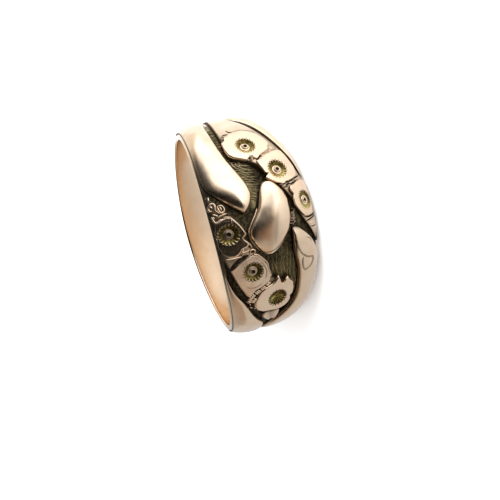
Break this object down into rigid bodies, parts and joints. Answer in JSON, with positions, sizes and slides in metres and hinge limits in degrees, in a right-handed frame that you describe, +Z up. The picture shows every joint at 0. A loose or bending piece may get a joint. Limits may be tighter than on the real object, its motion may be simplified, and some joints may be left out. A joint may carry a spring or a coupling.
{
  "type": "engraved finger ring",
  "caption": "Wide tapered dress ring with interlaced plain strands, small chased flowers and a sunk, darkened ground across the front, lying on its side.",
  "frame": {"origin": "centre of the bounding box in X and Y, on the surface that the ring lies on", "axes": "+Z up, with the ring lying on its lower rim; -Y towards the carved front; +X to the right as the front is looked at; the finger hole's axis leans 7.6 degrees from +Z in the YZ plane"},
  "size_m": [0.02, 0.021, 0.0089],
  "materials": {
    "rose_gold": "polished rose gold with fine wear scratches, rubbed bright on the raised work",
    "cut_gold": "bright-cut yellow gold in the hearts of the flowers, dark between the cuts",
    "dark_ground": "hatched sunk ground, dark brown with age, the ridges rubbed to gold"
  },
  "bodies": {
    "root": {"ring": "rose_gold"}
  },
  "joints": []
}
